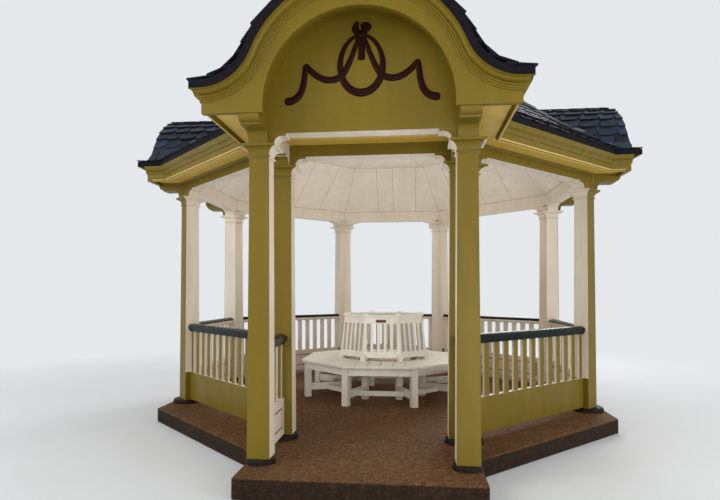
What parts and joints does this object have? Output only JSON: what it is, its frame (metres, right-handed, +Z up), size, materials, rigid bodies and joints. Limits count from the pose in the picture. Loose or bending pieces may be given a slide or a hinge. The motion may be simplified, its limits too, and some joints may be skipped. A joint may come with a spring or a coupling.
{
  "type": "bandstand",
  "caption": "Octagonal timber bandstand with an entrance porch, ogee gables under a slate tent roof, railings with flat balusters and a bench round the centre.",
  "frame": {"origin": "centre of the octagon at the underside of the plinth, on the ground", "axes": "+Z up, the entrance porch faces -Y, +X to the right for someone who faces the entrance"},
  "size_m": [5.6146, 6.3646, 5.081],
  "materials": {
    "aggregate": "rough",
    "iron_foot": "satin",
    "ochre_paint": "satin",
    "cream_paint": "satin",
    "green_paint": "satin",
    "slate": "satin",
    "hip_metal": "satin",
    "dark_paint": "satin",
    "bench_paint": "satin"
  },
  "bodies": {
    "root": {"plinth": "aggregate", "post_feet": "iron_foot", "porch_posts": "ochre_paint", "corner_posts": "ochre_paint", "capitals": "ochre_paint", "beams_straight": "ochre_paint", "beams_slanting": "ochre_paint", "porch_side_beams": "ochre_paint", "sawn_brackets": "ochre_paint", "gable_consoles": "ochre_paint", "gable_board_front": "ochre_paint", "gable_board_right": "ochre_paint", "gable_board_back": "ochre_paint", "gable_board_left": "ochre_paint", "verge_mouldings": "ochre_paint", "tympana": "ochre_paint", "arch_linings": "ochre_paint", "cornice_front": "ochre_paint", "cornice_back": "ochre_paint", "handrails": "green_paint", "railing_front_right": "cream_paint", "railing_right": "cream_paint", "railing_back_right": "cream_paint", "railing_back": "cream_paint", "railing_back_left": "cream_paint", "railing_left": "cream_paint", "railing_front_left": "cream_paint", "railings_porch": "cream_paint", "soffits": "cream_paint", "ceiling_straight": "cream_paint", "ceiling_slanting": "cream_paint", "ceiling_centre": "cream_paint", "tent_roof_straight": "slate", "tent_roof_slanting": "slate", "gable_roof_front": "slate", "gable_roof_right": "slate", "gable_roof_back": "slate", "gable_roof_left": "slate", "hip_capping": "hip_metal", "garland": "dark_paint", "bench_seat": "bench_paint", "bench_legs": "bench_paint", "bench_rails": "bench_paint", "bench_back": "bench_paint"}
  },
  "joints": []
}
